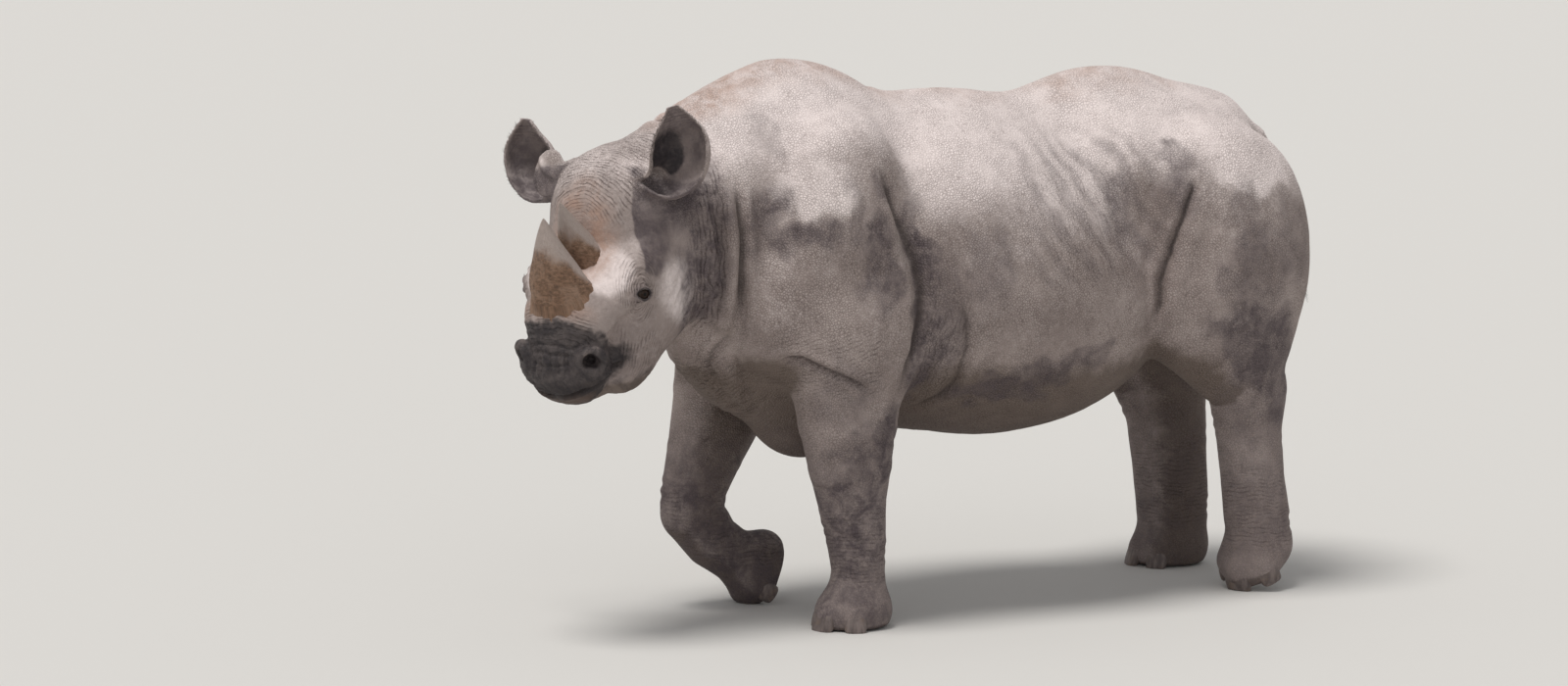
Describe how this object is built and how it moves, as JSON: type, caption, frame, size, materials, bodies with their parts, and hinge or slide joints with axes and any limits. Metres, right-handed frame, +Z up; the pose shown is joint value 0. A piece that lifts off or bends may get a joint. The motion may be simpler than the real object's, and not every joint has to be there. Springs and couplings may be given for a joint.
{
  "type": "rhinoceros model",
  "caption": "Life-size still model of a browsing rhinoceros in mid step, head hanging and turned to its left.",
  "frame": {"origin": "centre of the bounding box's footprint, at the level of the soles", "axes": "+Z up from the floor, -Y the way the animal walks, +X to the animal's left"},
  "size_m": [0.9124, 2.6302, 1.5724],
  "materials": {
    "hide": "matte",
    "horn": "matte",
    "nail": "matte",
    "eye": "gloss"
  },
  "bodies": {
    "root": {"trunk": "hide", "neck": "hide", "head": "hide", "tail": "hide", "leg_front_left": "hide", "leg_front_right": "hide", "leg_hind_left": "hide", "leg_hind_right": "hide", "foot_front_left": "hide", "foot_front_right": "hide", "foot_hind_left": "hide", "foot_hind_right": "hide", "ear_left": "hide", "ear_right": "hide", "horn_front": "horn", "horn_rear": "horn", "nail_front_left_1": "nail", "nail_front_left_2": "nail", "nail_front_left_3": "nail", "nail_front_right_1": "nail", "nail_front_right_2": "nail", "nail_front_right_3": "nail", "nail_hind_left_1": "nail", "nail_hind_left_2": "nail", "nail_hind_left_3": "nail", "nail_hind_right_1": "nail", "nail_hind_right_2": "nail", "nail_hind_right_3": "nail", "eye_left": "eye", "eye_right": "eye"}
  },
  "joints": []
}
